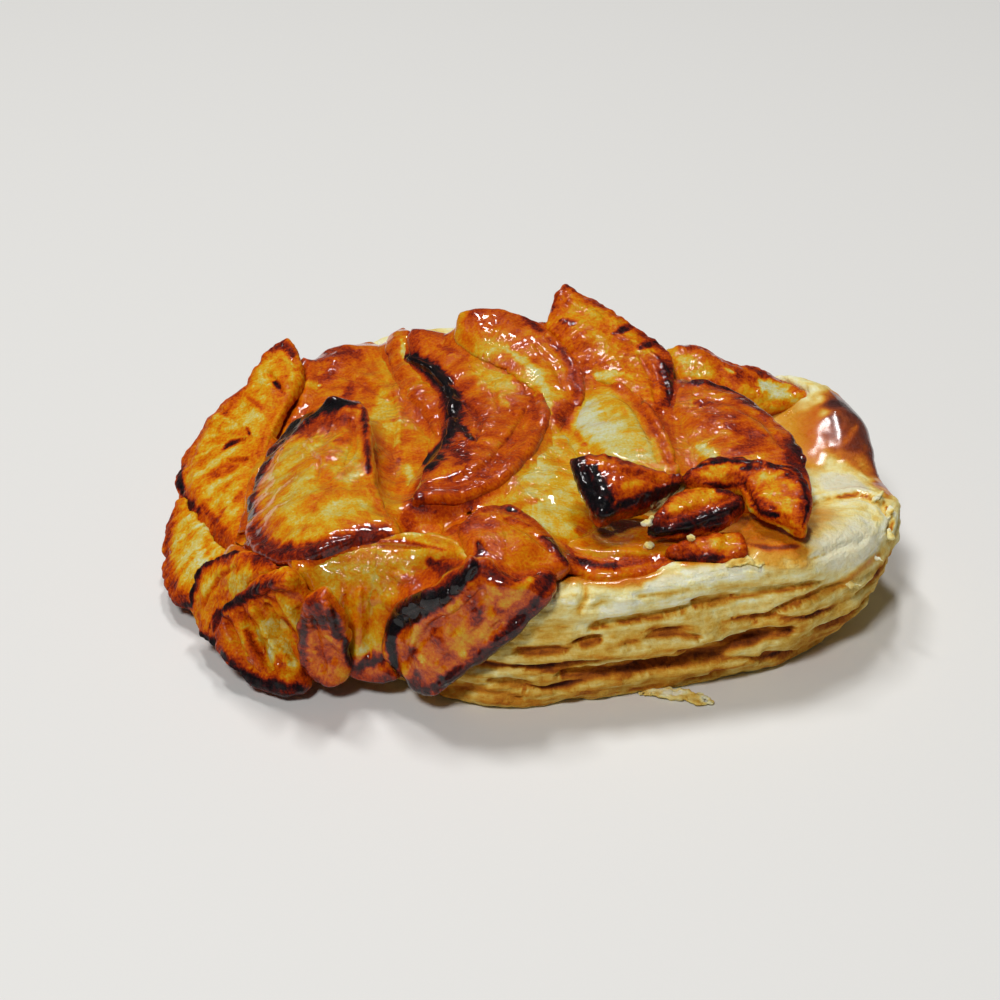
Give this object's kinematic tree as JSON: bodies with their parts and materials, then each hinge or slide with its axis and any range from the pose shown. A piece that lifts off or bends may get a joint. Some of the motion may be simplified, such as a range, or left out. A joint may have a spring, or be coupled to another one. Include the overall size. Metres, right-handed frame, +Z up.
{
  "type": "apple tart",
  "caption": "Small round apple tart: glazed, browned apple slices heaped on risen puff pastry; food that stands on its flat underside.",
  "frame": {"origin": "centre of the round of pastry, on its flat underside", "axes": "+Z up out of the table, -Y towards the side where apple slices hang down over the rim and the layers show, +X towards the bare puffed rim"},
  "size_m": [0.1149, 0.0951, 0.0324],
  "materials": {
    "puff_pastry": "dry, flaky, golden to brown",
    "baked_apple": "caramelised and glazed, charred at the edges"
  },
  "bodies": {
    "root": {"pastry": "puff_pastry", "slice_wedge_burnt": "baked_apple", "slice_leaf": "baked_apple", "slice_hook": "baked_apple", "slice_under_leaf": "baked_apple", "slice_front_centre": "baked_apple", "slice_front_folded": "baked_apple", "slice_front_tip": "baked_apple", "slice_left_drooped": "baked_apple", "slice_front_draped": "baked_apple", "slice_left_round": "baked_apple", "slice_left_front": "baked_apple", "slice_middle_burnt": "baked_apple", "slice_middle_pale": "baked_apple", "slice_back_centre": "baked_apple", "slice_back_peak": "baked_apple", "slice_right_glazed": "baked_apple", "slice_middle_low": "baked_apple", "slice_front_low": "baked_apple", "slice_right_back": "baked_apple", "slice_left_inner": "baked_apple", "slice_left_glazed": "baked_apple", "slice_left_back": "baked_apple", "slice_left_low": "baked_apple"}
  },
  "joints": []
}
